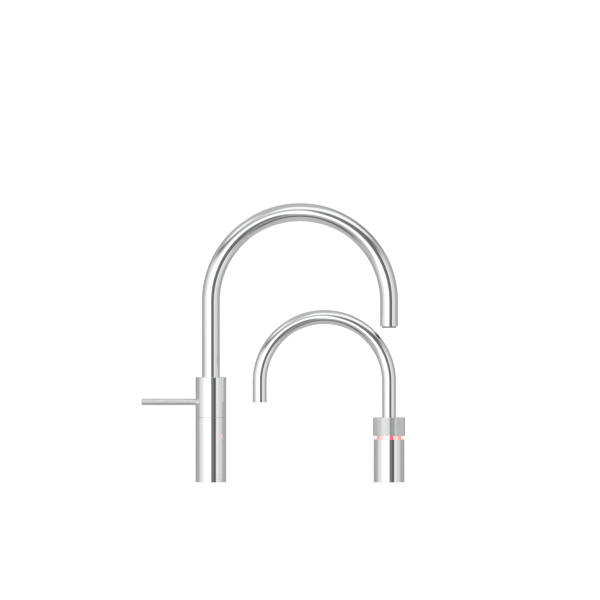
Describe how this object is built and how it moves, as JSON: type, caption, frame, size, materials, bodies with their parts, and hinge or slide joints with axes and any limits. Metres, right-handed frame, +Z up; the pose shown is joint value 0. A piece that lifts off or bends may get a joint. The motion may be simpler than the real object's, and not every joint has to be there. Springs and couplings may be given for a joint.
{
  "type": "boiling water tap",
  "caption": "Swan-neck boiling water tap with a knurled push-and-turn knob and a light ring, paired with a matching swan-neck single-lever mixer tap on one worktop.",
  "frame": {"origin": "centre of the boiling tap's base, at the level of the worktop's upper face", "axes": "+Z up along both tap axes; +X from the mixer tap towards the boiling tap, to the right in the picture; +Y away from the person at the sink"},
  "size_m": [0.3426, 0.05, 0.4279],
  "materials": {
    "chrome": "polished",
    "knurled_chrome": "satin, knurled",
    "brass": "machined",
    "steel": "machined",
    "rubber": "matte",
    "white_plastic": "moulded",
    "dark_plastic": "moulded",
    "grey_plastic": "moulded, satin",
    "fluoropolymer": "smooth",
    "ceramic": "lapped",
    "magnet": "sintered ferrite in a plastic binder",
    "light_ring": "translucent, lit from below",
    "board": "solder mask"
  },
  "bodies": {
    "fixed": {"boiling_shank": "brass", "boiling_base_gasket": "rubber", "boiling_rubber_washer": "rubber", "boiling_steel_washer": "steel", "boiling_backnut": "brass", "boiling_base_shell": "chrome", "mixer_shank": "brass", "mixer_base_gasket": "rubber", "mixer_rubber_washer": "rubber", "mixer_steel_washer": "steel", "mixer_backnut": "brass", "mixer_base_shell": "chrome", "boiling_guide_column": "brass", "boiling_inlet_pipe": "steel", "boiling_pipe_bush": "dark_plastic", "boiling_spring_seat": "steel", "boiling_led_board": "board", "boiling_light_ring": "light_ring", "boiling_return_spring": "steel", "boiling_spout_screw": "steel", "mixer_slip_ring": "dark_plastic", "mixer_valve_body": "brass", "mixer_hot_inlet_tail": "steel", "mixer_cold_inlet_tail": "steel", "mixer_cartridge_base": "dark_plastic", "mixer_fixed_disc": "ceramic", "mixer_cartridge_housing": "white_plastic", "mixer_cartridge_nut": "brass", "mixer_spout_snap_ring": "steel"},
    "boiling_spout": {"boiling_spout_stub": "brass", "boiling_spout_seal_lower": "rubber", "boiling_spout_seal_upper": "rubber", "boiling_pipe_seal": "rubber", "boiling_spout_tube": "chrome", "boiling_water_tube": "fluoropolymer", "boiling_outlet_sleeve": "chrome", "boiling_outlet_core": "fluoropolymer", "boiling_spray_plate": "steel"},
    "boiling_carrier": {"boiling_push_carrier": "dark_plastic"},
    "boiling_knob": {"boiling_knob_shell": "knurled_chrome", "boiling_knob_magnet_ring": "magnet", "boiling_knob_clip": "steel"},
    "mixer_handle": {"mixer_handle_shell": "chrome", "mixer_handle_bearing": "white_plastic", "mixer_cartridge_turret": "dark_plastic", "mixer_pivot_pin": "steel"},
    "mixer_lever": {"mixer_lever_rod": "chrome", "mixer_lever_hub": "brass", "mixer_lever_screw": "steel", "mixer_spindle": "steel"},
    "mixer_disc": {"mixer_moving_disc": "ceramic", "mixer_disc_driver": "dark_plastic"},
    "mixer_shutter": {"mixer_slot_shutter": "dark_plastic"},
    "mixer_spout": {"mixer_spout_stub": "brass", "mixer_spout_seal_lower": "rubber", "mixer_spout_seal_upper": "rubber", "mixer_spout_tube": "chrome", "mixer_aerator_housing": "grey_plastic", "mixer_aerator_insert": "dark_plastic", "mixer_aerator_seal": "rubber"}
  },
  "joints": [
    {"name": "boiling_spout_swivel", "type": "hinge", "parent": "fixed", "child": "boiling_spout", "pos_m": [0, 0, 0.03], "axis": [0, 0, 1], "continuous": true},
    {"name": "boiling_knob_push", "type": "slide", "parent": "fixed", "child": "boiling_carrier", "axis": [0, 0, -1], "range_m": [0, 0.0032], "stiffness_N_per_m": 800, "springref_m": -0.004, "deforming": ["boiling_return_spring"]},
    {"name": "boiling_knob_turn", "type": "hinge", "parent": "boiling_carrier", "child": "boiling_knob", "pos_m": [0, 0, 0.07], "axis": [0, 0, 1], "range_deg": [0, 90]},
    {"name": "mixer_spout_swivel", "type": "hinge", "parent": "fixed", "child": "mixer_spout", "pos_m": [-0.2286, 0, 0.13], "axis": [0, 0, 1], "range_deg": [-90, 90]},
    {"name": "mixer_handle_turn", "type": "hinge", "parent": "fixed", "child": "mixer_handle", "pos_m": [-0.2286, 0, 0.1], "axis": [0, 0, 1], "range_deg": [-45, 45]},
    {"name": "mixer_lever_lift", "type": "hinge", "parent": "mixer_handle", "child": "mixer_lever", "pos_m": [-0.2286, 0, 0.093], "axis": [0, 1, 0], "range_deg": [0, 22]},
    {"name": "mixer_disc_slide", "type": "slide", "parent": "mixer_handle", "child": "mixer_disc", "axis": [-1, 0, 0], "range_m": [0, 0.0031]},
    {"name": "mixer_shutter_slide", "type": "slide", "parent": "mixer_handle", "child": "mixer_shutter", "axis": [0, 0, 1], "range_m": [0, 0.0077]}
  ],
  "couplings": [
    {"joint": "mixer_disc_slide", "follows": "mixer_lever_lift", "m_per_rad": 0.008},
    {"joint": "mixer_shutter_slide", "follows": "mixer_lever_lift", "m_per_rad": 0.0198}
  ]
}
